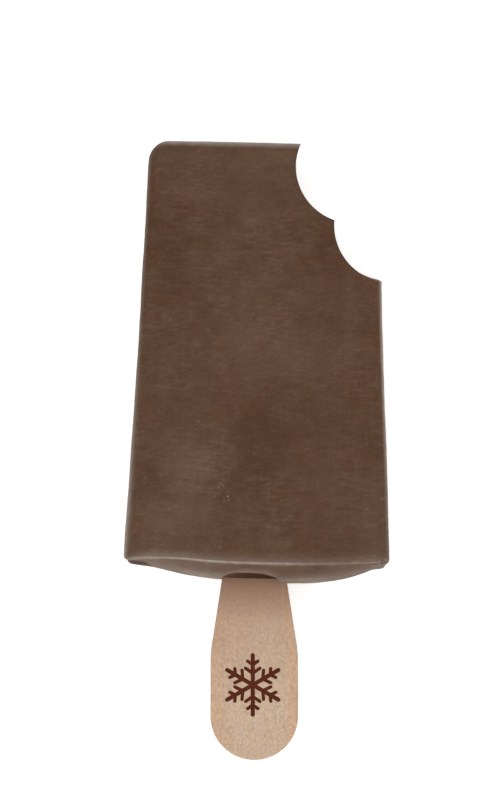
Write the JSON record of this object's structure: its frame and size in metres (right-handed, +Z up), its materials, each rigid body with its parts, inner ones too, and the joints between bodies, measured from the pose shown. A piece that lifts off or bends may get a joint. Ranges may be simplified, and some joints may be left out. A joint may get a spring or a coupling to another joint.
{
  "type": "ice cream bar",
  "caption": "Chocolate ice cream bar with a bitten corner on a shaped wooden stick, lying on its back, for table, freezer or kitchen scenes.",
  "frame": {"origin": "on the supporting surface, under the middle of the whole object's footprint", "axes": "+Z up, out of the flat front face, which lies upward; +Y along the stick from its round end towards the bar's bitten tip; +X to the right, the bitten side, seen from above"},
  "size_m": [0.0524, 0.1242, 0.0226],
  "materials": {
    "chocolate_ice": "matte frozen chocolate with faint mottling, fine streaks and pale frost on its edges",
    "birch_wood": "bare pale birch with fine short grain"
  },
  "bodies": {
    "root": {"ice_cream": "chocolate_ice", "stick": "birch_wood"}
  },
  "joints": []
}
